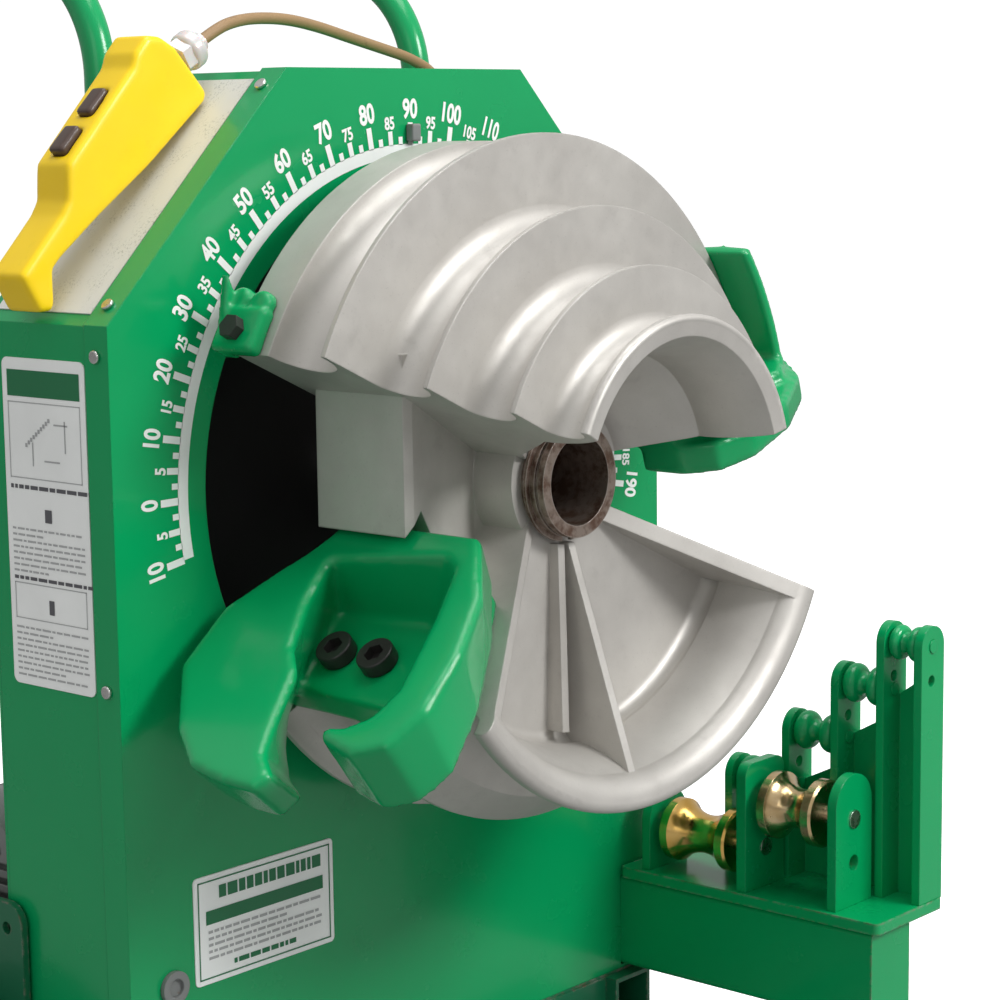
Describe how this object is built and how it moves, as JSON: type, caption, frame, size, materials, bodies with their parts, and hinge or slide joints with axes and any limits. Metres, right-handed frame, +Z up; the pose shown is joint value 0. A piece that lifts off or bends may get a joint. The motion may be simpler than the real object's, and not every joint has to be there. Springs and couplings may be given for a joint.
{
  "type": "electric conduit bender",
  "caption": "Floor-standing powered conduit bender: a grooved bending shoe with hooks turns on a tall wheeled green housing, with rollers on an arm and a corded push-button pendant.",
  "frame": {"origin": "on the floor, under the middle of the machine's bounding box without the pendant's cord", "axes": "+Z up, -Y towards the operator's side, where the bending shoe is, +X towards the roller arm's side"},
  "size_m": [0.804, 0.7196, 1.0777],
  "materials": {
    "green_enamel": "gloss enamel",
    "black_paint": "semi-matte",
    "cast_shoe": "as cast, worn bright in the grooves",
    "worn_steel": "worn, lightly rusted",
    "bright_steel": "machined",
    "zinc": "bright zinc plate",
    "brass": "machined, worn",
    "grey_paint": "satin",
    "tyre": "matt",
    "pendant_yellow": "gloss",
    "button_brown": "satin",
    "gland_nylon": "translucent",
    "cord_tan": "matt",
    "label_white": "satin",
    "dark_plastic": "satin"
  },
  "bodies": {
    "chassis": {"housing_shell": "green_enamel", "front_cover": "green_enamel", "rear_cover": "green_enamel", "recess_pan": "black_paint", "cover_screws": "zinc", "chart_plate": "label_white", "instruction_labels": "label_white", "face_fittings": "grey_paint", "shaft_bearings": "bright_steel", "drive_chain": "bright_steel", "gearbox": "grey_paint", "motor": "grey_paint", "fan_cowl": "grey_paint", "control_box": "green_enamel", "power_inlet": "dark_plastic", "cord_gland": "gland_nylon", "support_arm": "green_enamel", "roller_base": "green_enamel", "green_uprights": "green_enamel", "green_pins": "zinc", "brass_uprights": "green_enamel", "brass_pins": "zinc", "base_frame": "green_enamel", "side_brackets": "green_enamel", "axle": "zinc", "caster_plates": "zinc", "push_handle": "green_enamel", "handle_clamps": "green_enamel", "pendant_front_shell": "pendant_yellow", "pendant_rear_shell": "pendant_yellow", "pendant_gland": "gland_nylon", "pendant_cord": "cord_tan", "pendant_cord_coil": "cord_tan", "pendant_cord_tail": "cord_tan"},
    "shoe": {"main_shaft": "worn_steel", "shaft_key": "bright_steel", "retaining_ring": "worn_steel", "drive_sprocket": "bright_steel", "bending_shoe": "cast_shoe", "hook_a": "green_enamel", "hook_b": "green_enamel", "shoe_bolts": "black_paint", "pointer_bracket": "green_enamel"},
    "pinion": {"drive_pinion": "bright_steel"},
    "bend_button_body": {"bend_button": "button_brown"},
    "unload_button_body": {"unload_button": "button_brown"},
    "green_roller_body_1": {"green_roller_1": "green_enamel"},
    "green_roller_body_2": {"green_roller_2": "green_enamel"},
    "green_roller_body_3": {"green_roller_3": "green_enamel"},
    "green_roller_body_4": {"green_roller_4": "green_enamel"},
    "brass_roller_body_1": {"brass_roller_1": "brass"},
    "brass_roller_body_2": {"brass_roller_2": "brass"},
    "left_wheel": {"left_tyre": "tyre", "left_wheel_hub": "grey_paint"},
    "left_swivel": {"left_caster_fork": "zinc"},
    "left_roll": {"left_caster_wheel": "dark_plastic"},
    "right_wheel": {"right_tyre": "tyre", "right_wheel_hub": "grey_paint"},
    "right_swivel": {"right_caster_fork": "zinc"},
    "right_roll": {"right_caster_wheel": "dark_plastic"}
  },
  "joints": [
    {"name": "shoe_turn", "type": "hinge", "parent": "chassis", "child": "shoe", "pos_m": [0, -0.07885, 0.65], "axis": [0, 1, 0], "range_deg": [-41, 159]},
    {"name": "pinion_turn", "type": "hinge", "parent": "chassis", "child": "pinion", "pos_m": [0.06, -0.07885, 0.32], "axis": [0, 1, 0], "range_deg": [-170, 640]},
    {"name": "green_roller_spin_1", "type": "hinge", "parent": "chassis", "child": "green_roller_body_1", "pos_m": [0.347, -0.07885, 0.332], "axis": [0, 1, 0], "continuous": true},
    {"name": "green_roller_spin_2", "type": "hinge", "parent": "chassis", "child": "green_roller_body_2", "pos_m": [0.347, -0.07885, 0.383], "axis": [0, 1, 0], "continuous": true},
    {"name": "green_roller_spin_3", "type": "hinge", "parent": "chassis", "child": "green_roller_body_3", "pos_m": [0.347, -0.07885, 0.433], "axis": [0, 1, 0], "continuous": true},
    {"name": "green_roller_spin_4", "type": "hinge", "parent": "chassis", "child": "green_roller_body_4", "pos_m": [0.347, -0.07885, 0.475], "axis": [0, 1, 0], "continuous": true},
    {"name": "brass_roller_spin_1", "type": "hinge", "parent": "chassis", "child": "brass_roller_body_1", "pos_m": [0.297, -0.07885, 0.284], "axis": [0, 1, 0], "continuous": true},
    {"name": "brass_roller_spin_2", "type": "hinge", "parent": "chassis", "child": "brass_roller_body_2", "pos_m": [0.297, -0.07885, 0.325], "axis": [0, 1, 0], "continuous": true},
    {"name": "left_wheel_spin", "type": "hinge", "parent": "chassis", "child": "left_wheel", "pos_m": [-0.366, 0.11115, 0.127], "axis": [1, 0, 0], "continuous": true},
    {"name": "left_caster_swivel", "type": "hinge", "parent": "chassis", "child": "left_swivel", "pos_m": [-0.265, -0.16385, 0.06], "axis": [0, 0, 1], "continuous": true},
    {"name": "left_caster_spin", "type": "hinge", "parent": "left_swivel", "child": "left_roll", "pos_m": [-0.265, -0.13985, 0.0375], "axis": [1, 0, 0], "continuous": true},
    {"name": "right_wheel_spin", "type": "hinge", "parent": "chassis", "child": "right_wheel", "pos_m": [0.366, 0.11115, 0.127], "axis": [1, 0, 0], "continuous": true},
    {"name": "right_caster_swivel", "type": "hinge", "parent": "chassis", "child": "right_swivel", "pos_m": [0.265, -0.16385, 0.06], "axis": [0, 0, 1], "continuous": true},
    {"name": "right_caster_spin", "type": "hinge", "parent": "right_swivel", "child": "right_roll", "pos_m": [0.265, -0.13985, 0.0375], "axis": [1, 0, 0], "continuous": true},
    {"name": "bend_button_press", "type": "slide", "parent": "chassis", "child": "bend_button_body", "axis": [0.7071, 0, -0.7071], "range_m": [0, 0.003], "stiffness_N_per_m": 600, "springref_m": -0.002},
    {"name": "unload_button_press", "type": "slide", "parent": "chassis", "child": "unload_button_body", "axis": [0.7071, 0, -0.7071], "range_m": [0, 0.003], "stiffness_N_per_m": 600, "springref_m": -0.002}
  ],
  "couplings": [
    {"joint": "pinion_turn", "follows": "shoe_turn", "ratio": 4}
  ]
}
